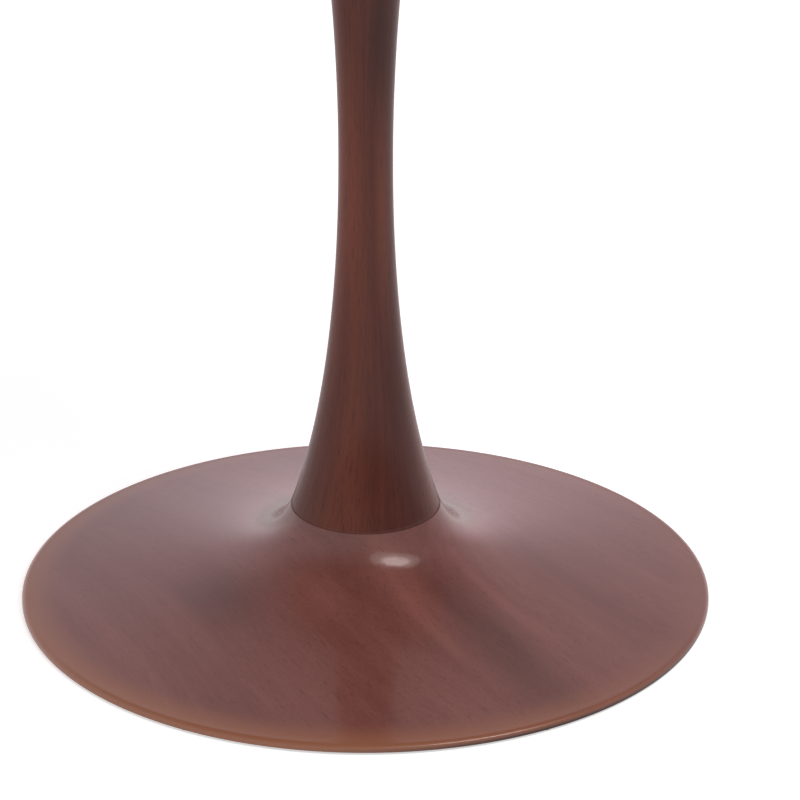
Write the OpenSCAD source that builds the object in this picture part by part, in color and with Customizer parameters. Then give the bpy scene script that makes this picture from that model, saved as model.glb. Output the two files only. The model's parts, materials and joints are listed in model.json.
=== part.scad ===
// Tilt-top pedestal table. A turned trumpet column stands on a wide, shallow round foot, and carries
// a block on which the round top tilts upright. A barrel bolt under the top locks it level.
// Millimetres. Z is up, the origin is on the floor on the column's axis, and the top tilts about X.

/* [Top] */
// Height of the table surface above the floor
table_h = 740; // [720:5:780]
// Diameter of the round top
top_d = 900; // [800:10:1000]
// Thickness of the top, face to underside
top_t = 22; // [20:1:26]
// Height of the upright edge that the underside's bevel leaves
top_edge_h = 8; // [6:1:12]
// Width of the solid lipping round the core
lipping_w = 45; // [40:1:60]

/* [Foot] */
// Diameter of the foot
foot_d = 600; // [560:10:680]
// Height of the seam between the foot and the column
neck_h = 85; // [82:1:96]
// Radius of the foot and of the column at that seam
neck_r = 65; // [62:1:70]
// Thickness of the pressed steel shell
shell_t = 3; // [2:0.5:3]
// Height of the rim's rounded top edge above the floor
rim_h = 8.5; // [8:0.5:10]
// Height that the glides hold the rim off the floor
glide_h = 2.5; // [2:0.5:3]
// Number of glides
glide_n = 6; // [5:1:8]

/* [Column] */
// Radius of the column at its waist
waist_r = 23; // [22:0.5:28]
// Height of the waist above the floor
waist_h = 409; // [390:1:430]
// Radius of the column under the block
column_top_r = 48; // [42:1:52]

/* [Tilting head] */
// Length of the block, front to back
block_l = 170; // [160:5:200]
// Width of the block
block_w = 120; // [110:2:140]
// Height of the block
block_h = 38; // [38:1:44]
// Drop of the pivot axis below the underside of the top
pivot_drop = 20; // [18:1:20]
// Diameter of the pivot pins
pin_d = 12; // [10:1:12]
// Length of the two bearers
bearer_l = 600; // [520:10:640]
// Width of each bearer
bearer_w = 28; // [24:1:34]
// Height of each bearer at its middle
bearer_h = 36; // [34:1:40]

/* [Barrel bolt] */
// Diameter of the sliding bolt
bolt_d = 8; // [7:0.5:8]
// Travel of the bolt from open to locked
bolt_travel = 14; // [12:1:14]
// Drop of the bolt's axis below the underside of the top
bolt_drop = 12; // [11:0.5:12]

/* [Hidden] */
$fn = 96;

walnut = [0.40, 0.24, 0.19];
dark_walnut = [0.31, 0.17, 0.14];
brass = [0.72, 0.57, 0.31];
steel = [0.62, 0.63, 0.65];
black_steel = [0.10, 0.10, 0.11];
nylon = [0.13, 0.12, 0.12];
felt = [0.20, 0.17, 0.15];
board = [0.12, 0.11, 0.10];
fibreboard = [0.66, 0.54, 0.40];

cut = 1;                    // how far a cutter runs past the face that it opens
slack = 0.05;               // radial clearance of a running fit
fit = 0.1;                  // radial clearance of a hole round a screw or a stem
veneer_t = 1;               // veneer on the foot
face_t = 0.6;               // veneer on the top
curve_steps = 36;           // straight steps that stand for one Bezier curve
arc_steps = 6;              // straight steps that stand for a rounded edge

foot_r = foot_d / 2;
rim_round_w = 5.5;          // width and height of the rim's rounded edge
rim_round_h = 4;
lip_r = foot_r - 20;        // inner radius of the shell's rolled lip
lip_t = 2;
lip_top = glide_h + lip_t;
lip_step_r = foot_r - 14;   // where the lip meets the underside of the shell
flange_r = neck_r - 4;      // where the shell's inner face meets the flange at its top

glide_place_r = foot_r - 11;
glide_r = 8;
glide_stem_r = 2.5;

cover_gap = 1;              // between the cover and the lip
cover_screw_n = 6;
cover_screw_place_r = foot_r - 150;
cover_screw_r = 2.5;
cover_screw_l = 12;
cover_head_r = 5;

ballast_r = foot_r - 100;
ballast_t = 12;
hub_r = 60;
hub_top = 42;
nut_seat = 24;              // height of the seat for the lower washer
nut_well_r = 28;
spacer_r = 22;
spacer_wall = 5;

rod_r = 8;
rod_hole_r = 8.5;
rod_foot = 8;               // height of the tie rod's lower end
rod_proud = 0.5;            // how far the rod's upper end stands out of its nut
nut_af = 24;
nut_h = 13;
washer_h = 3;
lower_washer_r = 24;
upper_washer_r = 19;

seam_bevel = 0.8;           // bevel round the column's lower edge

ring_r = 38;
ring_w = 8;
ring_h = 8;
ring_side_gap = 0.2;        // between the locating ring and its recess in the column
ring_top_gap = 0.5;

underside = table_h - top_t;
pad_t = 2;
block_top = underside - pad_t;
block_base = block_top - block_h;
nose_r = pivot_drop - pad_t;
pivot_y = nose_r - block_l / 2;
pivot_z = underside - pivot_drop;
upper_seat = block_base + 20;
upper_well_r = 22;
dowel_r = 4;
dowel_x = 33;
dowel_h = 40;
dowel_gap = 0.5;            // between a dowel's end and the bottom of its hole
rest_pad_r = 8;
rest_pad_x = 45;
rest_pad_y = [-45, 65];
stop_pad_r = 6.5;
stop_pad_x = 40;
stop_pad_drop = 11;         // below the pivot
stop_gap = 0.2;             // between a stop pad and a bearer's flat when the top stands upright

pin_r = pin_d / 2;
pin_grip = 42;              // length of each pin inside the block
pin_hole_l = pin_grip + 1;
bush_r = pin_r + 2;
side_gap = 1.5;             // between the block and a bearer, and outside the bearer
flange_t = 1.3;             // thickness of a bush's flange, and of a washer
flange_w = 3;
head_r = 10;
head_t = 5;
head_chamfer = 1;
bearer_in = block_w / 2 + side_gap;
bearer_out = bearer_in + bearer_w;

screw_y = [-230, -120, 120, 230];
screw_x = bearer_in + bearer_w / 2;
screw_seat = underside - 14;
screw_bite = 14;            // how far a bearer screw runs into the top
screw_r = 2.3;
screw_head_r = 4.8;
screw_head_h = 3;
screw_bore_r = 5.5;         // counterbore for a bearer screw's head

top_r = top_d / 2;
core_r = top_r - lipping_w;
edge_round = 2.5;
veneer_edge_a = asin(1 - face_t / edge_round);  // where the veneer meets the lipping on the round
lipping_n = 6;
level_w = 3;                // level margin under the lipping, before the bevel

bolt_r = bolt_d / 2;
bolt_z = underside - bolt_drop;
keeper_t = 2;
keeper_face = block_l / 2 + keeper_t;
tip_gap = 3;                // between the open bolt and the keeper
bolt_tip = keeper_face + tip_gap;
bolt_l = 60;
socket = bolt_d + 2;        // side of the square socket that takes the bolt
socket_depth = bolt_travel + 2;
end_cone_l = 1.5;           // length and depth of the cone at each end of the bolt
end_cone_in = 1.2;
plate_t = 2;
plate_w = 36;
plate_margin = [1, 3];      // how far the plate runs past the guides, at the tip and at the back
guide_w = 18;
guide_l = 10;
guide_y = [keeper_face + 8, keeper_face + 44];
knob_y = bolt_tip + 34;
knob_stem_r = 2.4;
knob_outline = [            // as [r, z], from the bolt's axis down
    [0, -1], [knob_stem_r, -1], [knob_stem_r, -12], [5, -13.5], [6.5, -16], [7, -19],
    [6.2, -22.5], [4, -25], [0, -25.8]
];
keeper_w = 40;
keeper_h = 18;
small_screw_r = 1.7;        // screws of the plate and of the keeper
small_head_r = 3.2;
small_head_gap = 0.2;       // round the head, and from its flat face to the countersink's end
plate_screw_x = 13.5;
plate_screw_l = 14;
keeper_screw_x = 14;
keeper_screw_l = 15;

// Point of a cubic Bezier curve p at t, its direction there, and the point d to its left.
function bezier(p, t) =
    pow(1 - t, 3) * p[0] + 3 * pow(1 - t, 2) * t * p[1] + 3 * (1 - t) * t * t * p[2] + t * t * t * p[3];
function heading(p, t) =
    pow(1 - t, 2) * (p[1] - p[0]) + 2 * (1 - t) * t * (p[2] - p[1]) + t * t * (p[3] - p[2]);
function beside(p, t, d) =
    let (v = heading(p, t) / norm(heading(p, t))) bezier(p, t) + d * [-v[1], v[0]];

foot_curve = [
    [neck_r, neck_h], [neck_r + 19, neck_h - 35], [neck_r + 31, 34], [foot_r - rim_round_w, rim_h]
];
lower_curve = [
    [neck_r, neck_h], [waist_r - 1, neck_h + 118], [waist_r, waist_h - 35], [waist_r, waist_h]
];
upper_curve = [
    [waist_r, waist_h], [waist_r, waist_h + 37],
    [waist_r + 2, block_base - 100], [column_top_r, block_base]
];

// The foot's face from the seam to the underside of the rim, moved d inwards.
function foot_face(d) = concat(
    [[neck_r - d, neck_h]],
    [for (i = [1:curve_steps]) beside(foot_curve, i / curve_steps, -d)],
    [for (i = [1:arc_steps]) let (a = 90 * i / arc_steps) [
        foot_r - rim_round_w + (rim_round_w - d) * sin(a),
        rim_h - rim_round_h + (rim_round_h - d) * cos(a)
    ]],
    [[foot_r - d, glide_h]]
);

// The shell's inner face, from the rim up to the flange that the column stands on.
function shell_inside() = [
    for (i = [curve_steps:-1:0])
        let (p = beside(foot_curve, i / curve_steps, -veneer_t - shell_t))
            if (p[0] < lip_step_r && p[1] < neck_h - shell_t) p
];

function reversed(list) = [for (i = [len(list) - 1:-1:0]) list[i]];

module ring(r_out, r_in, h) {
    difference() {
        cylinder(r = r_out, h = h);
        translate([0, 0, -cut]) cylinder(r = r_in, h = h + 2 * cut);
    }
}

// A hexagon nut with its corners turned off at both ends.
module hex_nut() {
    flat = nut_af / 2 - 0.4;    // radius of the round face that the turning leaves
    corner = nut_af / 2 / cos(30);
    turned = (corner - flat) * tan(30);
    difference() {
        intersection() {
            cylinder(r = corner, h = nut_h, $fn = 6);
            rotate_extrude() polygon([
                [0, 0], [flat, 0], [corner, turned], [corner, nut_h - turned], [flat, nut_h], [0, nut_h]
            ]);
        }
        translate([0, 0, -cut]) cylinder(r = rod_r + slack, h = nut_h + 2 * cut);
    }
}

module around(n, r) {
    for (i = [0:n - 1]) rotate([0, 0, 360 * i / n]) translate([r, 0, 0]) children();
}

// Cuts for a screwdriver in a head whose face is at z = 0, looking down: a slot, or a cross.
module slot(head_radius) {
    span = 2 * (head_radius + cut);
    width = 0.8;
    depth = 0.8;
    translate([-span / 2, -width / 2, -cut]) cube([span, width, depth + cut]);
}

module cross(head_radius) {
    span = 1.2 * head_radius;
    width = 1;
    depth = 1.3;
    for (a = [0, 90]) rotate([0, 0, a])
        translate([-span / 2, -width / 2, -cut]) cube([span, width, depth + cut]);
}

// A countersunk screw with its head's face at z = 0, pointing up. Its cut is the child.
module screw(shank_r, head_radius, head_h, length) {
    difference() {
        union() {
            cylinder(r1 = head_radius, r2 = shank_r, h = head_h);
            cylinder(r = shank_r, h = length);
        }
        children();
    }
}

// ---- foot ----

module foot_veneer() {
    color(walnut) rotate_extrude()
        polygon(concat(foot_face(0), reversed(foot_face(veneer_t))));
}

module foot_shell() {
    color(black_steel) difference() {
        rotate_extrude() polygon(concat(
            foot_face(veneer_t),
            [[lip_r, glide_h], [lip_r, lip_top], [lip_step_r, lip_top]],
            shell_inside(),
            [[flange_r, neck_h - shell_t], [rod_hole_r, neck_h - shell_t], [rod_hole_r, neck_h]]
        ));
        around(glide_n, glide_place_r) translate([0, 0, glide_h - cut])
            cylinder(r = glide_stem_r + fit, h = lip_t + cut + 2 * fit);
    }
}

module foot_ballast() {
    color(black_steel) difference() {
        union() {
            translate([0, 0, lip_top]) cylinder(r = ballast_r, h = ballast_t);
            translate([0, 0, lip_top]) cylinder(r = hub_r, h = hub_top - lip_top);
        }
        cylinder(r = nut_well_r, h = nut_seat);
        cylinder(r = rod_hole_r, h = hub_top + cut);
        around(cover_screw_n, cover_screw_place_r)
            cylinder(r = cover_screw_r + fit, h = glide_h + cover_screw_l + 1.5);
    }
}

module foot_cover() {
    color(board) difference() {
        translate([0, 0, glide_h]) ring(lip_r - cover_gap, nut_well_r, lip_t);
        around(cover_screw_n, cover_screw_place_r) translate([0, 0, glide_h - 0.01])
            cylinder(r1 = cover_head_r + 2 * fit, r2 = cover_screw_r + fit, h = lip_t + 0.1);
    }
}

module cover_screws() {
    color(steel) around(cover_screw_n, cover_screw_place_r) translate([0, 0, glide_h])
        screw(cover_screw_r, cover_head_r, lip_t, cover_screw_l) cross(cover_head_r);
}

module floor_glides() {
    color(nylon) around(glide_n, glide_place_r) union() {
        cylinder(r = glide_r, h = glide_h);
        cylinder(r = glide_stem_r, h = lip_top);
    }
}

module neck_spacer() {
    color(steel) translate([0, 0, hub_top])
        ring(spacer_r, spacer_r - spacer_wall, neck_h - shell_t - hub_top);
}

module locating_ring() {
    color(steel) translate([0, 0, neck_h]) ring(ring_r, ring_r - ring_w, ring_h);
}

// ---- column ----

module column() {
    color(dark_walnut) difference() {
        rotate_extrude() polygon(concat(
            [[0, neck_h], [neck_r - seam_bevel, neck_h], [neck_r - seam_bevel / 2, neck_h + seam_bevel]],
            [for (i = [1:curve_steps]) bezier(lower_curve, i / curve_steps)],
            [for (i = [1:curve_steps / 2]) bezier(upper_curve, 2 * i / curve_steps)],
            [[0, block_base]]
        ));
        translate([0, 0, neck_h - cut])
            cylinder(r = ring_r + ring_side_gap, h = ring_h + ring_top_gap + cut);
        translate([0, 0, neck_h]) cylinder(r = rod_hole_r, h = block_base - neck_h + cut);
        for (s = [-1, 1]) translate([s * dowel_x, 0, block_base - dowel_h / 2 - dowel_gap])
            cylinder(r = dowel_r + slack, h = dowel_h);
    }
}

module tie_rod() {
    color(steel) translate([0, 0, rod_foot])
        cylinder(r = rod_r, h = upper_seat + washer_h + nut_h + rod_proud - rod_foot);
}

module lower_washer() {
    color(steel) translate([0, 0, nut_seat - washer_h]) ring(lower_washer_r, rod_hole_r, washer_h);
}

module lower_nut() {
    color(steel) translate([0, 0, nut_seat - washer_h - nut_h]) hex_nut();
}

module upper_washer() {
    color(steel) translate([0, 0, upper_seat]) ring(upper_washer_r, rod_hole_r, washer_h);
}

module upper_nut() {
    color(steel) translate([0, 0, upper_seat + washer_h]) hex_nut();
}

// ---- tilting head ----

// Side outline of the block as [y, z]: its front upper edge is rounded about the pivot.
module block_outline() {
    polygon(concat(
        [[block_l / 2, block_base], [block_l / 2, block_top]],
        [for (i = [0:2 * arc_steps]) let (a = 90 * i / (2 * arc_steps))
            [pivot_y - nose_r * sin(a), pivot_z + nose_r * cos(a)]],
        [[-block_l / 2, block_base]]
    ));
}

// Turns an outline drawn as [y, z] into a board w thick along X, starting at x.
module along_x(x, w) {
    translate([x, 0, 0]) rotate([90, 0, 90]) linear_extrude(height = w) children();
}

module x_cylinder(r, x, length) {
    translate([x, pivot_y, pivot_z]) rotate([0, 90, 0]) cylinder(r = r, h = length);
}

module pivot_block() {
    color(walnut) difference() {
        along_x(-block_w / 2, block_w) block_outline();
        translate([0, 0, upper_seat]) cylinder(r = upper_well_r, h = block_h);
        translate([0, 0, block_base - cut]) cylinder(r = rod_hole_r, h = block_h);
        x_cylinder(pin_r + slack, block_w / 2 - pin_hole_l, pin_hole_l + cut);
        x_cylinder(pin_r + slack, -block_w / 2 - cut, pin_hole_l + cut);
        for (s = [-1, 1]) {
            translate([s * dowel_x, 0, block_base - cut])
                cylinder(r = dowel_r + slack, h = dowel_h / 2 + dowel_gap + cut);
            translate([s * keeper_screw_x, block_l / 2 + cut, bolt_z]) rotate([90, 0, 0])
                cylinder(r = small_screw_r + fit, h = keeper_screw_l + cut);
        }
        translate([-socket / 2, block_l / 2 - socket_depth, bolt_z - socket / 2])
            cube([socket, socket_depth + cut, socket]);
    }
}

module block_dowels() {
    color(fibreboard) for (s = [-1, 1])
        translate([s * dowel_x, 0, block_base - dowel_h / 2]) cylinder(r = dowel_r, h = dowel_h);
}

// Felt pads that the level top rests on.
module rest_pads() {
    color(felt) for (s = [-1, 1], y = rest_pad_y)
        translate([s * rest_pad_x, y, block_top]) cylinder(r = rest_pad_r, h = pad_t);
}

// Felt pads that stop the upright top, on the block's front face.
module stop_pads() {
    color(felt) for (s = [-1, 1])
        translate([s * stop_pad_x, -block_l / 2, pivot_z - stop_pad_drop]) rotate([90, 0, 0])
            cylinder(r = stop_pad_r, h = pad_t - stop_gap);
}

// side is 1 for the right-hand pin and -1 for the left-hand one.
module pivot_pin(side) {
    head_x = bearer_out + side_gap;
    chamfer_x = head_x + head_t - head_chamfer;
    slot_w = 1.8;
    slot_depth = 2;
    color(brass) mirror([side < 0 ? 1 : 0, 0, 0]) difference() {
        union() {
            x_cylinder(pin_r, block_w / 2 - pin_grip, pin_grip + chamfer_x - block_w / 2);
            x_cylinder(head_r, head_x, head_t - head_chamfer);
            translate([chamfer_x, pivot_y, pivot_z]) rotate([0, 90, 0])
                cylinder(r1 = head_r, r2 = head_r - head_chamfer, h = head_chamfer);
        }
        translate([head_x + head_t - slot_depth, pivot_y - head_r - cut, pivot_z - slot_w / 2])
            cube([slot_depth + cut, 2 * (head_r + cut), slot_w]);
    }
}

module pivot_bush(side) {
    color(nylon) mirror([side < 0 ? 1 : 0, 0, 0]) difference() {
        union() {
            x_cylinder(bush_r, bearer_in - flange_t, flange_t + bearer_w);
            x_cylinder(bush_r + flange_w, bearer_in - flange_t, flange_t);
        }
        x_cylinder(pin_r + slack, bearer_in - side_gap, bearer_w + 2 * side_gap);
    }
}

module pivot_washer(side) {
    color(nylon) mirror([side < 0 ? 1 : 0, 0, 0]) difference() {
        x_cylinder(head_r, bearer_out, flange_t);
        x_cylinder(pin_r + slack, bearer_out - cut, flange_t + 2 * cut);
    }
}

// Side outline of a bearer as [y, z], tapered towards both ends.
module bearer_outline() {
    half = bearer_l / 2;
    end_h = 14;
    corner = 4;
    taper_l = 120;
    polygon([
        [-half, underside], [-half, underside - end_h + corner], [-half + corner, underside - end_h],
        [-half + taper_l, underside - bearer_h], [half - taper_l, underside - bearer_h],
        [half - corner, underside - end_h], [half, underside - end_h + corner], [half, underside]
    ]);
}

module bearer(side) {
    color(walnut) mirror([side < 0 ? 1 : 0, 0, 0]) difference() {
        along_x(bearer_in, bearer_w) bearer_outline();
        x_cylinder(bush_r + slack, bearer_in - cut, bearer_w + 2 * cut);
        for (y = screw_y) {
            translate([screw_x, y, underside - bearer_h - cut])
                cylinder(r = screw_bore_r, h = bearer_h + cut - (underside - screw_seat));
            translate([screw_x, y, underside - bearer_h - cut])
                cylinder(r = screw_r + 2 * fit, h = bearer_h + 2 * cut);
        }
    }
}

// A flat-headed screw in each counterbore, biting into the top.
module bearer_screws(side) {
    head_z = screw_seat - screw_head_h;
    color(steel) for (y = screw_y) translate([side * screw_x, y, head_z]) difference() {
        union() {
            cylinder(r = screw_head_r, h = screw_head_h);
            cylinder(r = screw_r, h = underside - head_z + screw_bite);
        }
        rotate([0, 0, y]) cross(screw_head_r);
    }
}

// ---- top ----

// Holes in the top for the bearer screws and the bolt plate's screws.
module top_holes() {
    for (s = [-1, 1], y = screw_y) translate([s * screw_x, y, underside - cut])
        cylinder(r = screw_r + fit, h = screw_bite + cut + 1);
    plate_screw_places() translate([0, 0, plate_t - cut])
        cylinder(r = small_screw_r + fit, h = plate_screw_l - plate_t + cut + 1);
}

module top_core() {
    color(fibreboard) difference() {
        translate([0, 0, underside + face_t]) cylinder(r = core_r, h = top_t - 2 * face_t);
        top_holes();
    }
}

// Points of the top's rounded upper edge as [r, z], between two angles above the horizontal.
function edge_arc(from, to) = [
    for (i = [0:arc_steps]) let (a = from + (to - from) * i / arc_steps)
        [top_r - edge_round + edge_round * cos(a), table_h - edge_round + edge_round * sin(a)]
];

// Solid lipping in equal lengths, butted end to end.
module edge_lipping() {
    bevel_end = table_h - top_edge_h;
    angle = 360 / lipping_n;
    reach = top_r / cos(angle / 2) + cut;
    color(walnut) for (i = [0:lipping_n - 1]) intersection() {
        rotate_extrude() polygon(concat(
            [[core_r, table_h - face_t], [core_r, underside], [core_r + level_w, underside]],
            [[top_r - edge_round, bevel_end], [top_r, bevel_end + edge_round]],
            edge_arc(0, veneer_edge_a)
        ));
        translate([0, 0, underside - cut]) linear_extrude(height = top_t + 2 * cut) polygon([
            [0, 0],
            reach * [cos(angle * i), sin(angle * i)],
            reach * [cos(angle * (i + 1)), sin(angle * (i + 1))]
        ]);
    }
}

module top_veneer() {
    color(walnut) rotate_extrude() polygon(concat(
        [[0, table_h], [0, table_h - face_t]], edge_arc(veneer_edge_a, 90)
    ));
}

module under_veneer() {
    color(walnut) difference() {
        translate([0, 0, underside]) cylinder(r = core_r, h = face_t);
        top_holes();
    }
}

// ---- barrel bolt ----

module plate_screw_places() {
    for (s = [-1, 1], y = guide_y)
        translate([s * plate_screw_x, y + guide_l / 2, underside - plate_t]) children();
}

module y_cylinder(r, y, length) {
    translate([0, y, bolt_z]) rotate([-90, 0, 0]) cylinder(r = r, h = length);
}

// Countersunk hole for a small screw through a plate t thick, opening downwards.
module countersink(t) {
    cylinder(r1 = small_head_r + small_head_gap, r2 = small_screw_r + fit, h = t + 0.1);
}

module small_screw(head_h, length, turn) {
    screw(small_screw_r, small_head_r, head_h, length) rotate([0, 0, turn]) slot(small_head_r);
}

module bolt_plate() {
    guides_l = guide_y[1] + guide_l - guide_y[0];
    color(brass) difference() {
        union() {
            translate([-plate_w / 2, guide_y[0] - plate_margin[0], underside - plate_t])
                cube([plate_w, guides_l + plate_margin[0] + plate_margin[1], plate_t]);
            for (y = guide_y) {
                translate([-guide_w / 2, y, bolt_z])
                    cube([guide_w, guide_l, underside - plate_t - bolt_z]);
                y_cylinder(guide_w / 2, y, guide_l);
            }
        }
        y_cylinder(bolt_r + slack, guide_y[0] - cut, guides_l + 2 * cut);
        plate_screw_places() translate([0, 0, -0.01]) countersink(plate_t);
    }
}

module bolt_plate_screws() {
    color(brass) plate_screw_places() small_screw(plate_t - small_head_gap, plate_screw_l, 20);
}

module sliding_bolt() {
    color(brass) difference() {
        union() {
            y_cylinder(bolt_r, bolt_tip + end_cone_l, bolt_l - 2 * end_cone_l);
            translate([0, bolt_tip, bolt_z]) rotate([-90, 0, 0])
                cylinder(r1 = bolt_r - end_cone_in, r2 = bolt_r, h = end_cone_l);
            translate([0, bolt_tip + bolt_l - end_cone_l, bolt_z]) rotate([-90, 0, 0])
                cylinder(r1 = bolt_r, r2 = bolt_r - end_cone_in, h = end_cone_l);
        }
        translate([0, knob_y, bolt_z - bolt_r - cut])
            cylinder(r = knob_stem_r + slack, h = bolt_r + cut);
    }
}

module bolt_knob() {
    color(brass) translate([0, knob_y, bolt_z]) rotate_extrude() polygon(knob_outline);
}

module bolt_keeper() {
    color(brass) translate([0, block_l / 2, 0]) difference() {
        translate([-keeper_w / 2, 0, bolt_z - keeper_h / 2]) cube([keeper_w, keeper_t, keeper_h]);
        translate([-socket / 2, -cut, bolt_z - socket / 2]) cube([socket, keeper_t + 2 * cut, socket]);
        for (s = [-1, 1]) translate([s * keeper_screw_x, keeper_t + 0.01, bolt_z])
            rotate([90, 0, 0]) countersink(keeper_t);
    }
}

module keeper_screws() {
    color(brass) for (s = [-1, 1]) translate([s * keeper_screw_x, keeper_face, bolt_z])
        rotate([90, 0, 0]) small_screw(keeper_t - small_head_gap, keeper_screw_l, 70);
}

foot_veneer();
foot_shell();
foot_ballast();
foot_cover();
cover_screws();
floor_glides();
neck_spacer();
locating_ring();
column();
tie_rod();
lower_washer();
lower_nut();
upper_washer();
upper_nut();
pivot_block();
block_dowels();
rest_pads();
stop_pads();
pivot_pin(-1);  // pivot_pin_left
pivot_pin(1);  // pivot_pin_right
pivot_bush(-1);  // pivot_bush_left
pivot_bush(1);  // pivot_bush_right
pivot_washer(-1);  // pivot_washer_left
pivot_washer(1);  // pivot_washer_right
bearer(-1);  // bearer_left
bearer(1);  // bearer_right
bearer_screws(-1);  // bearer_screws_left
bearer_screws(1);  // bearer_screws_right
top_core();
edge_lipping();
top_veneer();
under_veneer();
bolt_plate();
bolt_plate_screws();
sliding_bolt();
bolt_knob();
bolt_keeper();
keeper_screws();
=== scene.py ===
import json
import math

import bmesh
import bpy
from mathutils import Matrix, Vector


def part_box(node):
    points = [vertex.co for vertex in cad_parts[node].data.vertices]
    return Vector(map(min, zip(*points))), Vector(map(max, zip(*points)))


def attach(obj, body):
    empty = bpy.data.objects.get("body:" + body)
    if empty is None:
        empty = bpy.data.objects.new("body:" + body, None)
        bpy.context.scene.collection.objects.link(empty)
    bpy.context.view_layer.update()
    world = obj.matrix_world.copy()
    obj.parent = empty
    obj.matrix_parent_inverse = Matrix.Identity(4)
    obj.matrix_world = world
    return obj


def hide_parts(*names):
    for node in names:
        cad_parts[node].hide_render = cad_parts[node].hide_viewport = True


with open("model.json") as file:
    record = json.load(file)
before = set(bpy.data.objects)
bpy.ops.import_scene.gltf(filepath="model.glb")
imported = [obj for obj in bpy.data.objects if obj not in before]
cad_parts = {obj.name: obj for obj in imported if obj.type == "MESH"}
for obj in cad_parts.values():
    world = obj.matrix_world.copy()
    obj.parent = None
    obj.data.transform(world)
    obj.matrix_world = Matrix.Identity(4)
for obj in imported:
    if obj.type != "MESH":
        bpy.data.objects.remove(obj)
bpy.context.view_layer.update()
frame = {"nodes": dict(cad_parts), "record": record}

MM = 0.001
scene = bpy.context.scene
body_of = {
    node: body for body, nodes in frame["record"]["behaviour"]["bodies"].items() for node in nodes
}
slot_of = {part["node"]: part["material_slot"] for part in frame["record"]["subparts"]}


# ---- measures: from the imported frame, then those that the CAD's curves share ----

foot_low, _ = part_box("foot_veneer")
column_low, column_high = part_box("column")
_, top_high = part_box("top_veneer")
lipping_low, lipping_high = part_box("edge_lipping")
_, core_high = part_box("top_core")
knob_low, knob_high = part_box("bolt_knob")

SEAM_Z = column_low.z
COLUMN_TOP_Z = column_high.z
TOP_R = lipping_high.x
TOP_Z = top_high.z
UNDERSIDE_Z = lipping_low.z
CORE_R = core_high.x

FOOT_R = 0.300
SEAM_R = 0.065
RIM_ROUND_W = 5.5 * MM
RIM_ROUND_H = 4 * MM
RIM_Z = 8.5 * MM
SKIN_T = 0.9 * MM
WAIST_R = 0.023
WAIST_Z = 0.409
COLUMN_TOP_R = 0.048
BORE_R = 8.5 * MM
RECESS_R = 38.2 * MM
RECESS_H = 8.5 * MM
SEAM_BEVEL = 0.4 * MM

FACE_T = 0.6 * MM
EDGE_ROUND = 2.5 * MM
TOP_EDGE_H = 8 * MM
LIPPING_PARTS = 6
LIPPING_EASE = 0.4 * MM
LIPPING_FLAT_W = 3 * MM
JOINT_ANGLE = 0.012     # degrees taken off each end of a length of lipping, for a hairline

KNOB_R = (knob_high.x - knob_low.x) / 2
KNOB_STEM_R = 2.4 * MM
KNOB_NECK_Z = knob_low.z + 13.6 * MM
KNOB_GRIP_H = 6.8 * MM
KNOB_FILLET = 0.6 * MM
KNOB_SHOULDER = 1.0 * MM


# ---- meshes ----

SHARP_ANGLE = 35        # degrees between two faces, over which their edge stays sharp
TAPER_ANGLE = 8         # the same for a piece that also has shallow creases
FLAT_ANGLE = 0.2        # degrees, under which two CAD triangles are one flat face
WELD_DISTANCE = 2e-6


def bezier(p, steps):
    """Points of a cubic Bezier curve through the (r, z) control points p."""
    points = []
    for i in range(steps + 1):
        t = i / steps
        weights = ((1 - t) ** 3, 3 * (1 - t) ** 2 * t, 3 * (1 - t) * t * t, t ** 3)
        points.append(tuple(sum(w * q[k] for w, q in zip(weights, p)) for k in (0, 1)))
    return points


def arc(centre, radii, start, end, steps):
    """Points of an elliptical arc round centre, from start to end degrees above the horizontal."""
    points = []
    for i in range(steps + 1):
        a = math.radians(start + (end - start) * i / steps)
        points.append((centre[0] + radii[0] * math.cos(a), centre[1] + radii[1] * math.sin(a)))
    return points


def inset(points, depth):
    """The open outline points moved depth to the right of its direction."""
    moved = []
    for i, (r, z) in enumerate(points):
        before, after = points[max(i - 1, 0)], points[min(i + 1, len(points) - 1)]
        along = Vector((after[0] - before[0], after[1] - before[1])).normalized()
        moved.append((r + along.y * depth, z - along.x * depth))
    return moved


def add_object(name, bm, sharp_angle=SHARP_ANGLE):
    """A smooth-shaded object from bm, whose edges over sharp_angle degrees stay sharp."""
    bmesh.ops.recalc_face_normals(bm, faces=bm.faces)
    mesh = bpy.data.meshes.new(name)
    bm.to_mesh(mesh)
    bm.free()
    mesh.shade_smooth()
    mesh.set_sharp_from_angle(angle=math.radians(sharp_angle))
    obj = bpy.data.objects.new(name, mesh)
    scene.collection.objects.link(obj)
    return obj


def revolve(bm, outline, steps, start=0.0, sweep=360.0):
    """Turns a closed (r, z) outline about Z. A part turn is closed with a face at each end."""
    whole = sweep >= 360
    columns = []
    for i in range(steps if whole else steps + 1):
        a = math.radians(start + sweep * i / steps)
        columns.append([bm.verts.new((r * math.cos(a), r * math.sin(a), z)) for r, z in outline])
    count = len(outline)
    for i in range(steps):
        here, there = columns[i], columns[(i + 1) % len(columns)]
        for j in range(count):
            k = (j + 1) % count
            if outline[j][0] > 0 or outline[k][0] > 0:
                bm.faces.new((here[j], there[j], there[k], here[k]))
    if not whole:
        bm.faces.new(columns[0])
        bm.faces.new(columns[-1])
    bmesh.ops.remove_doubles(bm, verts=bm.verts, dist=1e-7)


def lathe(name, outline, steps=288, sharp_angle=SHARP_ANGLE):
    bm = bmesh.new()
    revolve(bm, outline, steps)
    return add_object(name, bm, sharp_angle)


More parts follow.
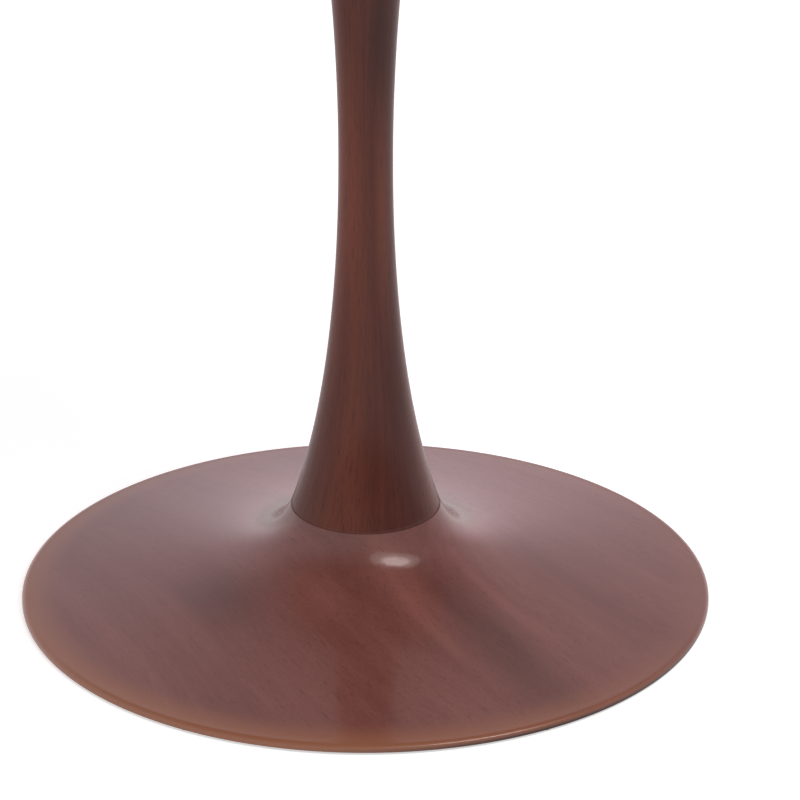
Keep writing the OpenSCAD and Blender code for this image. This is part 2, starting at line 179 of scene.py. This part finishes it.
def eased(node, width, sharp_angle):
    """A copy of a CAD node with its sharp edges rounded off."""
    bm = bmesh.new()
    bm.from_mesh(frame["nodes"][node].data)
    bmesh.ops.remove_doubles(bm, verts=bm.verts, dist=WELD_DISTANCE)
    flat = math.radians(FLAT_ANGLE)
    bmesh.ops.dissolve_limit(bm, angle_limit=flat, verts=bm.verts, edges=bm.edges)
    obj = add_object(node + "_eased", bm, sharp_angle)
    bevel = obj.modifiers.new("edges", "BEVEL")
    bevel.width = width
    bevel.segments = 2
    bevel.limit_method = "ANGLE"
    bevel.angle_limit = math.radians(SHARP_ANGLE)
    bevel.harden_normals = True
    return obj


# ---- shader nodes ----

class Graph:
    """Shader nodes, made and joined up from Python."""

    def __init__(self, tree):
        self.tree = tree
        tree.nodes.clear()

    def node(self, kind, inputs=(), **settings):
        made = self.tree.nodes.new("ShaderNode" + kind)
        for name, value in settings.items():
            setattr(made, name, value)
        for socket, value in dict(inputs).items():
            self.feed(made, socket, value)
        return made

    def feed(self, node, socket, value):
        target = node.inputs[socket]
        if isinstance(value, bpy.types.NodeSocket):
            self.tree.links.new(value, target)
        elif target.type == "RGBA":
            target.default_value = (*value, 1)
        else:
            target.default_value = value

    def place(self):
        return self.node("TexCoord").outputs["Object"]

    def maths(self, operation, a, b=0.0, c=0.0):
        return self.node("Math", {0: a, 1: b, 2: c}, operation=operation).outputs[0]

    def times(self, a, b):
        return self.maths("MULTIPLY", a, b)

    def line(self, value, slope, base):
        """value * slope + base."""
        return self.maths("MULTIPLY_ADD", value, slope, base)

    def vector(self, operation, a, b=(0, 0, 0)):
        made = self.node("VectorMath", {0: a, 1: b}, operation=operation)
        return made.outputs["Value" if operation == "LENGTH" else "Vector"]

    def join(self, x=0.0, y=0.0, z=0.0):
        return self.node("CombineXYZ", {0: x, 1: y, 2: z}).outputs[0]

    def split(self, vector):
        return self.node("SeparateXYZ", {0: vector}).outputs

    def noise(self, vector, stretch, detail=2.0, roughness=0.5):
        """Noise whose cells are 1/stretch metres long along each axis, from 0 to 1."""
        stretched = self.vector("MULTIPLY", vector, stretch)
        inputs = {"Vector": stretched, "Scale": 1.0, "Detail": detail, "Roughness": roughness}
        return self.node("TexNoise", inputs).outputs["Fac"]

    def spread(self, value, low, high, to_low=0.0, to_high=1.0, smooth=True):
        """value taken from low..high to to_low..to_high, and held at both ends."""
        inputs = {"Value": value, 1: low, 2: high, 3: to_low, 4: to_high}
        kind = "SMOOTHSTEP" if smooth else "LINEAR"
        return self.node("MapRange", inputs, interpolation_type=kind).outputs[0]

    def ramp(self, factor, colours):
        """A ramp with the colours spaced evenly over 0 to 1."""
        made = self.node("ValToRGB", {0: factor})
        stops = made.color_ramp.elements
        while len(stops) < len(colours):
            stops.new(0.5)
        for i, colour in enumerate(colours):
            stops[i].position = i / (len(colours) - 1)
            stops[i].color = (*colour, 1)
        return made.outputs["Color"]

    def mix(self, factor, a, b):
        return self.node("Mix", {0: factor, 6: a, 7: b}, data_type="RGBA").outputs[2]

    def bump(self, height, distance):
        return self.node("Bump", {"Height": height, "Distance": distance}).outputs[0]


def scaled(colour, factor):
    return [c * factor for c in colour]


def surface(name, **constants):
    """A new material round one Principled shader, as a Graph with its material and shader."""
    material = bpy.data.materials.new(name)
    material.use_nodes = True
    g = Graph(material.node_tree)
    g.material = material
    g.shader = g.node("BsdfPrincipled")
    g.node("OutputMaterial", {"Surface": g.shader.outputs[0]})
    for socket, value in constants.items():
        g.feed(g.shader, socket.replace("_", " "), value)
    return g


# ---- wood ----

WALNUT = [(0.095, 0.0315, 0.0255), (0.143, 0.0505, 0.0418), (0.189, 0.075, 0.0625)]
COLUMN_WALNUT = [(0.043, 0.0072, 0.0038), (0.070, 0.0138, 0.0074), (0.102, 0.0250, 0.0142)]
FOOT_GRAIN = -52.0      # degrees from X, seen from above
FAN_AXIS = 0.02         # metres across the grain, where the line that a fan leaves straight lies
BROAD_SHARE, LINE_SHARE, FIBRE_SHARE = 0.62, 0.26, 0.12     # of the three sizes of figure
SWAY, WANDER = 0.05, 0.004      # metres that the grain strays, over long and short lengths
MARK_WANDER = 0.012     # metres that a mark's outline strays across the grain
TONE_REACH = 0.17       # half the range of figure that the browns span, at a contrast of 1
LENGTH_SHIFT = 0.37     # metres from the wood of one length of lipping to that of the next
# Painted highlight: a warm, lighter band round the foot's rim, fading away from the left front.
RIM_PAINTED_HIGHLIGHT = (0.232, 0.096, 0.053)
RIM_PAINTED_HIGHLIGHT_STRENGTH = 0.90
RIM_PAINTED_HIGHLIGHT_FROM, RIM_PAINTED_HIGHLIGHT_TO = 0.264, 0.297
# Painted shade on the lower edge of the foot's rim, between these heights.
LOWER_EDGE_SHADE_FROM, LOWER_EDGE_SHADE_TO = 3.5 * MM, 7 * MM


def straight_grain(angle, fan=0.0):
    """Grain along a level direction, angle degrees from X. With fan, its lines draw apart as they
    go that way. Every space function gives coordinates whose first axis runs along the grain."""
    def space(g):
        turn = (0.0, 0.0, math.radians(-angle))
        level = g.split(g.node("Mapping", {"Vector": g.place(), "Rotation": turn}).outputs[0])
        narrowing = g.line(level[0], -fan, 1.0)
        across = g.line(g.maths("SUBTRACT", level[1], FAN_AXIS), narrowing, FAN_AXIS)
        return g.join(level[0], across, level[2])
    return space


def turned_grain(radius):
    """Grain that runs up a turned piece and fans out where it flares."""
    def space(g):
        place = g.split(g.place())
        outward = g.split(g.vector("NORMALIZE", g.join(place[0], place[1])))
        sides = [g.times(outward[k], radius) for k in (0, 1)]
        return g.join(place[2], *sides)
    return space


def ring_grain(parts):
    """Grain of a ring in equal straight-grained lengths, each along its own chord."""
    def space(g):
        place = g.split(g.place())
        turn = g.maths("ARCTAN2", place[1], place[0])
        step = 2 * math.pi / parts
        part = g.maths("FLOOR", g.maths("DIVIDE", turn, step))
        middle = g.line(part, step, step / 2)
        inputs = {"Vector": g.place(), "Angle": g.times(middle, -1.0)}
        level = g.split(g.node("VectorRotate", inputs, rotation_type="Z_AXIS").outputs[0])
        return g.join(level[1], level[0], g.line(part, LENGTH_SHIFT, level[2]))
    return space


def add_marks(g, colour, place, tones, marks):
    """Soft spindles along the grain that darken the wood, or lighten it when strength is below
    zero; some are figure in the wood, others painted shade, sheen and reflection. marks are
    (place along, place across, half length, half width, strength)."""
    for along, across, half_length, half_width, strength in marks:
        across += MARK_WANDER / 2       # the wander's mean
        off_along = g.line(place[0], 1 / half_length, -along / half_length)
        off_across = g.line(place[1], 1 / half_width, -across / half_width)
        off = g.vector("LENGTH", g.join(off_along, off_across))
        mark = g.spread(off, 0.0, 1.0, abs(strength), 0.0)
        target = scaled(tones[0], 0.35) if strength > 0 else scaled(tones[2], 1.3)
        colour = g.mix(mark, colour, target)
    return colour


def paint_foot_rim_light(g, colour):
    """Painted light on the foot's rim: a warm painted highlight, strongest at the left front, and
    painted shade on its lower edge, darkest at the right.
    """
    x, y, z = g.split(g.place())
    radius = g.vector("LENGTH", g.join(x, y))
    # painted highlight along the rim, fading towards the right back
    rim_highlight = g.spread(radius, RIM_PAINTED_HIGHLIGHT_FROM, RIM_PAINTED_HIGHLIGHT_TO, 0.0, RIM_PAINTED_HIGHLIGHT_STRENGTH)
    rim_highlight_fading = g.spread(g.line(y, 0.8, x), -RIM_PAINTED_HIGHLIGHT_TO, RIM_PAINTED_HIGHLIGHT_TO, 1.0, 0.25)
    colour = g.mix(g.times(rim_highlight, rim_highlight_fading), colour, RIM_PAINTED_HIGHLIGHT)
    # painted shade on the rim's lower edge, darkest at the right
    lower_edge_shade = g.spread(z, LOWER_EDGE_SHADE_FROM, LOWER_EDGE_SHADE_TO, 1.0, 0.0)
    lower_edge_shade = g.times(lower_edge_shade, g.spread(x, -0.10, 0.15, 0.1, 0.9))
    return g.mix(lower_edge_shade, colour, scaled(WALNUT[0], 0.12))


def walnut(name, space, tones, marks=(), contrast=1.0, figure=(0.9, 15), rim=None,
           coat=0.60, coat_roughness=0.13):
    """Walnut under satin lacquer. tones are its dark, middle and light browns, figure is how the
    broadest figure is stretched along and across the grain, and rim paints a highlight and shade
    onto the finished colour."""
    g = surface(
        name, Coat_Weight=coat, Coat_Roughness=coat_roughness, Coat_IOR=1.5, Specular_IOR_Level=0.05)
    straight = space(g)
    sway = g.noise(straight, (1.6, 4, 4), detail=1)
    wander = g.noise(straight, (7, 30, 30), detail=1)
    shift = g.line(sway, SWAY, g.times(wander, WANDER))
    grain = g.vector("ADD", straight, g.join(0.0, shift, 0.0))
    long, wide = figure
    broad = g.noise(grain, (long, wide, wide), detail=3, roughness=0.55)
    lines = g.noise(grain, (3, 130, 130), detail=3, roughness=0.6)
    fibre = g.noise(grain, (16, 900, 900), detail=2)
    pore = g.spread(g.noise(grain, (90, 2200, 2200), detail=1), 0.60, 0.68)
    flecks = g.spread(g.noise(grain, (45, 420, 420), detail=1), 0.62, 0.70)

    tone = g.line(lines, LINE_SHARE, g.times(broad, BROAD_SHARE))
    tone = g.line(fibre, FIBRE_SHARE, tone)
    reach = TONE_REACH / contrast
    tone = g.spread(tone, 0.5 - reach, 0.5 + reach, smooth=False)
    colour = g.ramp(tone, tones)

    place = g.split(g.vector("ADD", straight, g.join(0.0, g.times(wander, MARK_WANDER))))
    colour = add_marks(g, colour, place, tones, marks)
    colour = g.mix(g.times(pore, 0.35), colour, scaled(tones[0], 0.45))
    colour = g.mix(g.times(flecks, 0.20), colour, scaled(tones[0], 0.6))
    # rim, where given, paints a highlight and shade onto the finished colour
    g.feed(g.shader, "Base Color", rim(g, colour) if rim else colour)

    rough = g.line(lines, 0.16, 0.40)
    g.feed(g.shader, "Roughness", g.line(pore, 0.15, rough))
    relief = g.maths("SUBTRACT", g.times(fibre, 0.35), pore)
    g.feed(g.shader, "Normal", g.bump(relief, 0.06 * MM))
    ripple = g.noise(g.place(), (260, 260, 260), detail=1)
    g.feed(g.shader, "Coat Normal", g.bump(g.line(pore, -0.25, ripple), 0.03 * MM))
    return g.material


foot_wood = walnut(
    "walnut_foot", straight_grain(FOOT_GRAIN, fan=0.8), WALNUT, contrast=0.66,
    marks=(
        (0.19, 0.002, 0.17, 0.032, 0.42), (-0.02, -0.150, 0.08, 0.046, 0.44),
        (0.14, -0.033, 0.11, 0.010, -0.30), (0.14, 0.036, 0.11, 0.010, -0.30),
        # painted reflection: these two marks lighten the foot on either side of the column's
        # reflection
        (0.108, -0.031, 0.070, 0.030, -0.34), (0.056, -0.088, 0.060, 0.028, -0.24),
    ),
    rim=paint_foot_rim_light,
)
column_wood = walnut(
    "walnut_column", turned_grain(0.035), COLUMN_WALNUT, contrast=1.3, figure=(0.8, 28), coat=0.35,
    marks=(
        # The column's marks follow which way its surface faces: the lighter ones are painted sheen
        # towards its sides, the darker ones painted shade near its middle.
        (0.36, -0.030, 0.28, 0.012, -0.60), (0.38, -0.018, 0.17, 0.017, -0.85),
        (0.36, 0.022, 0.15, 0.016, -0.75), (0.18, 0.001, 0.12, 0.014, 0.28),
        (0.52, 0.012, 0.10, 0.022, 0.55),
    ),
)
top_wood = walnut("walnut_top", straight_grain(0.0), WALNUT, contrast=1.15)
lipping_wood = walnut("walnut_lipping", ring_grain(LIPPING_PARTS), WALNUT)
under_wood = walnut("walnut_underside", straight_grain(0.0), COLUMN_WALNUT, coat_roughness=0.3)
frame_wood = walnut("walnut_frame", straight_grain(90.0), COLUMN_WALNUT, coat_roughness=0.3)


# ---- metal, paint, plastic, board and felt ----

BRUSHED = {"X": (40, 2600, 2600), "Y": (2600, 40, 2600), "Z": (2600, 2600, 40)}
UNBRUSHED = (900, 900, 900)


def metal(name, colour, rough, brushed=None, speckle=0.0):
    """Bare or plated metal, with fine marks, along one axis if brushed, and a little cloudiness."""
    g = surface(name, Metallic=1.0)
    marks = g.noise(g.place(), BRUSHED.get(brushed, UNBRUSHED), detail=2)
    cloud = g.noise(g.place(), (70, 70, 70), detail=3, roughness=0.6)
    tint = g.mix(g.spread(cloud, 0.35, 0.7), colour, scaled(colour, 0.82))
    if speckle:
        spots = g.spread(g.noise(g.place(), (700, 700, 700), detail=2), 0.62, 0.72, 0.0, speckle)
        tint = g.mix(spots, tint, scaled(colour, 0.5))
    g.feed(g.shader, "Base Color", tint)
    wear = g.line(cloud, 0.14, rough - 0.07)
    g.feed(g.shader, "Roughness", g.line(marks, 0.12, wear))
    g.feed(g.shader, "Normal", g.bump(marks, 0.02 * MM))
    return g.material


def coating(name, colour, rough, grain_size, depth, mottling=0.25, **constants):
    """Paint, plastic, board or felt: a colour with mottling, and a texture of the given grain."""
    g = surface(name, **constants)
    per_metre = 1 / grain_size
    texture = g.noise(g.place(), (per_metre,) * 3, detail=4, roughness=0.65)
    cloud = g.noise(g.place(), (45, 45, 45), detail=3, roughness=0.6)
    dark, light = scaled(colour, 1 - mottling), scaled(colour, 1 + mottling)
    tint = g.mix(g.spread(cloud, 0.3, 0.7), dark, light)
    g.feed(g.shader, "Base Color", g.mix(g.spread(texture, 0.35, 0.75, 0.0, mottling), tint, dark))
    g.feed(g.shader, "Roughness", g.line(texture, 0.2, rough - 0.1))
    g.feed(g.shader, "Normal", g.bump(texture, depth))
    return g.material


brass = metal("brass_satin", (0.60, 0.42, 0.17), 0.30, brushed="Y")
zinc = metal("zinc_plate", (0.56, 0.57, 0.58), 0.34, speckle=0.2)
iron = coating("iron_painted", (0.020, 0.020, 0.022), 0.62, 1.6 * MM, 0.4 * MM)
primer = coating("shell_primer", (0.012, 0.012, 0.012), 0.5, 0.8 * MM, 0.05 * MM)
fibre_sheet = coating("fibre_sheet", (0.017, 0.016, 0.015), 0.8, 0.6 * MM, 0.1 * MM)
nylon = coating("nylon_moulded", (0.016, 0.016, 0.016), 0.48, 0.5 * MM, 0.03 * MM, mottling=0.1)
felt = coating(
    "felt_wool", (0.045, 0.032, 0.024), 0.95, 0.5 * MM, 0.4 * MM, mottling=0.45, Sheen_Weight=0.5)
board = coating("fibreboard", (0.36, 0.24, 0.14), 0.85, 0.7 * MM, 0.1 * MM, mottling=0.15)
beech = coating("beech_turned", (0.55, 0.36, 0.19), 0.6, 1.5 * MM, 0.05 * MM, mottling=0.12)

SLOT_MATERIAL = {
    "foot_walnut": foot_wood, "column_walnut": column_wood, "top_walnut": top_wood,
    "frame_walnut": frame_wood, "core_board": board, "dowel_beech": beech, "shell_black": primer,
    "ballast_iron": iron, "cover_board": fibre_sheet, "zinc_steel": zinc, "brass": brass,
    "nylon_black": nylon, "felt_brown": felt,
}
NODE_MATERIAL = {"edge_lipping": lipping_wood, "under_veneer": under_wood}


def paint(obj, material):
    obj.data.materials.clear()
    obj.data.materials.append(material)


def finish_as(obj, node):
    """Gives obj the node's own material, or else that of the node's slot."""
    paint(obj, NODE_MATERIAL.get(node, SLOT_MATERIAL[slot_of[node]]))


def stands_for(obj, node):
    """Puts obj in the place of a CAD node: on its body and in its material."""
    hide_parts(node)
    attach(obj, body_of[node])
    finish_as(obj, node)


# ---- the pieces ----

def make_foot_skin():
    """The walnut skin of the foot, from the seam over the rim and back up on the inside."""
    curve = bezier(
        [(SEAM_R, SEAM_Z), (SEAM_R + 19 * MM, SEAM_Z - 35 * MM), (SEAM_R + 31 * MM, 34 * MM),
         (FOOT_R - RIM_ROUND_W, RIM_Z)], steps=90)
    rim_centre = (FOOT_R - RIM_ROUND_W, RIM_Z - RIM_ROUND_H)
    rim = arc(rim_centre, (RIM_ROUND_W, RIM_ROUND_H), 90, 0, steps=10)
    face = curve + rim[1:] + [(FOOT_R, foot_low.z)]
    back = inset(face, SKIN_T)
    back[0] = (SEAM_R - SKIN_T, SEAM_Z)
    back[-1] = (FOOT_R - SKIN_T, foot_low.z)
    stands_for(lathe("foot_skin", face + back[::-1]), "foot_veneer")


def make_column():
    """The turned column, with the recess for the locating ring and the bore for the rod."""
    seam_centre = (SEAM_R - SEAM_BEVEL, SEAM_Z + SEAM_BEVEL)
    seam_edge = arc(seam_centre, (0.6 * SEAM_BEVEL, SEAM_BEVEL), -90, 0, steps=4)
    lower = bezier(
        [(SEAM_R, SEAM_Z), (WAIST_R - 1 * MM, SEAM_Z + 118 * MM), (WAIST_R, WAIST_Z - 35 * MM),
         (WAIST_R, WAIST_Z)], steps=90)
    upper = bezier(
        [(WAIST_R, WAIST_Z), (WAIST_R, WAIST_Z + 37 * MM), (WAIST_R + 2 * MM, COLUMN_TOP_Z - 100 * MM),
         (COLUMN_TOP_R, COLUMN_TOP_Z)], steps=70)
    recess_z = SEAM_Z + RECESS_H
    outline = [(BORE_R, recess_z), (RECESS_R, recess_z), (RECESS_R, SEAM_Z)] + seam_edge
    outline += lower[1:] + upper[1:] + [(BORE_R, COLUMN_TOP_Z)]
    stands_for(lathe("turned_column", outline, steps=192), "column")


def make_top():
    """The face veneer, and the lipping in its separate lengths, which share a rounded edge."""
    edge_radii = (EDGE_ROUND, EDGE_ROUND)
    upper_centre = (TOP_R - EDGE_ROUND, TOP_Z - EDGE_ROUND)
    lower_centre = (TOP_R - EDGE_ROUND, TOP_Z - TOP_EDGE_H + EDGE_ROUND)
    veneer_angle = math.degrees(math.asin(1 - FACE_T / EDGE_ROUND))

    rings = [(r, TOP_Z) for r in (0.42, 0.32, 0.22, 0.12, 0.04, 0.0)]
    outline = arc(upper_centre, edge_radii, veneer_angle, 90, steps=5) + rings
    outline += [(r, TOP_Z - FACE_T) for r, _ in rings[::-1]]
    stands_for(lathe("top_face", outline), "top_veneer")

    bevel_end = (lower_centre[0] - 0.5 * MM, TOP_Z - TOP_EDGE_H - 0.12 * MM)
    outline = [
        (CORE_R, TOP_Z - FACE_T), (CORE_R, UNDERSIDE_Z + LIPPING_EASE),
        (CORE_R + LIPPING_EASE, UNDERSIDE_Z), (CORE_R + LIPPING_FLAT_W, UNDERSIDE_Z), bevel_end,
    ]
    outline += arc(lower_centre, edge_radii, -78, 0, steps=6)
    outline += arc(upper_centre, edge_radii, 0, veneer_angle, steps=5)
    bm = bmesh.new()
    share = 360 / LIPPING_PARTS
    for part in range(LIPPING_PARTS):
        revolve(bm, outline, 48, share * part + JOINT_ANGLE, share - 2 * JOINT_ANGLE)
    stands_for(add_object("lipping_ring", bm), "edge_lipping")


EASED_EDGES = {         # millimetres
    "pivot_block": 1.2, "bearer_left": 1.2, "bearer_right": 1.2, "pivot_pin_left": 0.3,
    "pivot_pin_right": 0.3, "bolt_plate": 0.35, "sliding_bolt": 0.3, "bolt_keeper": 0.35,
    "bolt_plate_screws": 0.12, "keeper_screws": 0.12, "cover_screws": 0.12,
    "bearer_screws_left": 0.3, "bearer_screws_right": 0.3, "upper_nut": 0.3, "lower_nut": 0.3,
    "upper_washer": 0.3, "lower_washer": 0.3, "tie_rod": 0.8, "rest_pads": 0.5, "stop_pads": 0.5,
    "floor_glides": 0.6, "foot_cover": 0.3,
}
TAPERED = ("bearer_left", "bearer_right")


def make_eased_pieces():
    """The CAD's own pieces of the head, the bolt, the clamp and the foot, with eased edges."""
    for node, width in EASED_EDGES.items():
        sharp_angle = TAPER_ANGLE if node in TAPERED else SHARP_ANGLE
        stands_for(eased(node, width * MM, sharp_angle), node)


def make_knob():
    """The bolt's turned brass knob: a stem, a fillet, a shoulder and a rounded grip."""
    outline = [(0.0, knob_high.z), (KNOB_STEM_R, knob_high.z)]
    fillet_centre = (KNOB_STEM_R + KNOB_FILLET, KNOB_NECK_Z + KNOB_FILLET)
    outline += arc(fillet_centre, (KNOB_FILLET, KNOB_FILLET), 180, 270, steps=4)
    shoulder_centre = (KNOB_R - 2.4 * MM, KNOB_NECK_Z - 1.4 * MM)
    outline += arc(shoulder_centre, (KNOB_SHOULDER, KNOB_SHOULDER), 90, 0, steps=4)
    grip_centre = (0.0, knob_low.z + KNOB_GRIP_H)
    outline += arc(grip_centre, (KNOB_R, KNOB_GRIP_H), 35, -90, steps=24)[1:]
    knob = lathe("turned_knob", outline, steps=64, sharp_angle=50)
    knob.location = ((knob_low.x + knob_high.x) / 2, (knob_low.y + knob_high.y) / 2, 0.0)
    stands_for(knob, "bolt_knob")


# ---- studio ----

FLOOR_HALF_WIDTH = 12
OVERHEAD_LIGHT = 0.28
BLUSH = (1, 0.79, 0.86)
SOFTBOX_COLOUR = (1.0, 0.90, 0.88)
SOFTBOX_AIM = Vector((0, 0, 0.2))
SOFTBOX_DISTANCE = 3.6
CAMERA_PLACE = (0.0, -2.9611, 1.4635)
CAMERA_PITCH, CAMERA_PAN, CAMERA_ROLL = (math.radians(a) for a in (23.404, -0.5700, 0.233))


def make_floor():
    g = surface("floor_paper", Roughness=0.9, Specular_IOR_Level=0.1, Emission_Color=(1, 1, 1),
                Emission_Strength=0.50)
    shade = g.noise(g.place(), (3, 3, 3), detail=2)
    g.feed(g.shader, "Base Color", g.mix(shade, (0.84, 0.84, 0.84), (0.86, 0.86, 0.86)))
    bm = bmesh.new()
    bmesh.ops.create_grid(bm, x_segments=4, y_segments=4, size=FLOOR_HALF_WIDTH)
    floor = add_object("studio_floor", bm)
    paint(floor, g.material)


def make_world():
    """A pale room: brightest low down at the back, brighter on the left at middle height, and dim
    overhead. Its light blushes towards the back."""
    world = bpy.data.worlds.new("studio")
    scene.world = world
    world.use_nodes = True
    g = Graph(world.node_tree)
    right, back, up = g.split(g.node("TexCoord").outputs["Generated"])
    low = g.spread(up, 0.08, 0.35, 1.0, 0.0)
    high = g.spread(up, 0.5, 0.85)
    middle = g.maths("SUBTRACT", g.maths("SUBTRACT", 1.0, low), high)

    low_light = g.line(right, -0.10, g.line(back, 0.65, 1.14))
    middle_light = g.line(right, -0.34, g.line(back, 0.07, 1.12))
    strength = g.line(low, low_light, g.times(high, OVERHEAD_LIGHT))
    strength = g.line(middle, middle_light, strength)

    low_blush = g.times(g.times(low, g.line(right, 0.6, 0.9)), g.spread(back, -0.6, 1.0))
    middle_blush = g.times(middle, g.line(right, -0.35, 1.05))
    middle_blush = g.times(middle_blush, g.spread(back, -1.0, 0.8, 0.0, 0.75))
    colour = g.mix(g.maths("ADD", low_blush, middle_blush), (1, 1, 1), BLUSH)
    background = g.node("Background", {"Color": colour, "Strength": strength})
    g.node("OutputWorld", {"Surface": background.outputs[0]})


def make_softbox(name, azimuth, elevation, width, height, power):
    """An oval softbox, turned to the table. Azimuth 0 is in front, 90 to the right."""
    light = bpy.data.lights.new(name, "AREA")
    light.shape = "ELLIPSE"
    light.size = width
    light.size_y = height
    light.energy = power
    light.color = SOFTBOX_COLOUR
    obj = bpy.data.objects.new(name, light)
    a, e = math.radians(azimuth), math.radians(elevation)
    away = Vector((math.sin(a) * math.cos(e), -math.cos(a) * math.cos(e), math.sin(e)))
    obj.location = SOFTBOX_AIM + SOFTBOX_DISTANCE * away
    obj.rotation_euler = (-away).to_track_quat("-Z", "Y").to_euler()
    scene.collection.objects.link(obj)


def make_camera():
    """The photograph's view: 26 degrees above the rim of the foot, 3.3 m away."""
    data = bpy.data.cameras.new("camera")
    data.lens = 169.2
    data.sensor_width = 36
    data.clip_end = 100
    camera = bpy.data.objects.new("camera", data)
    tilt = Matrix.Rotation(math.pi / 2 - CAMERA_PITCH, 3, "X")
    turn = Matrix.Rotation(CAMERA_PAN, 3, "Z") @ tilt @ Matrix.Rotation(CAMERA_ROLL, 3, "Z")
    camera.rotation_euler = turn.to_euler()
    camera.location = CAMERA_PLACE
    scene.collection.objects.link(camera)
    scene.camera = camera


make_foot_skin()
make_column()
make_top()
make_eased_pieces()
make_knob()
for node, obj in frame["nodes"].items():
    if not obj.hide_render:
        finish_as(obj, node)

make_floor()
make_world()
make_softbox("softbox_face", azimuth=46, elevation=52, width=3.5, height=1.5, power=36)
make_softbox("softbox_core", azimuth=48, elevation=52, width=1.8, height=0.9, power=33)
make_camera()
scene.view_settings.view_transform = "Standard"
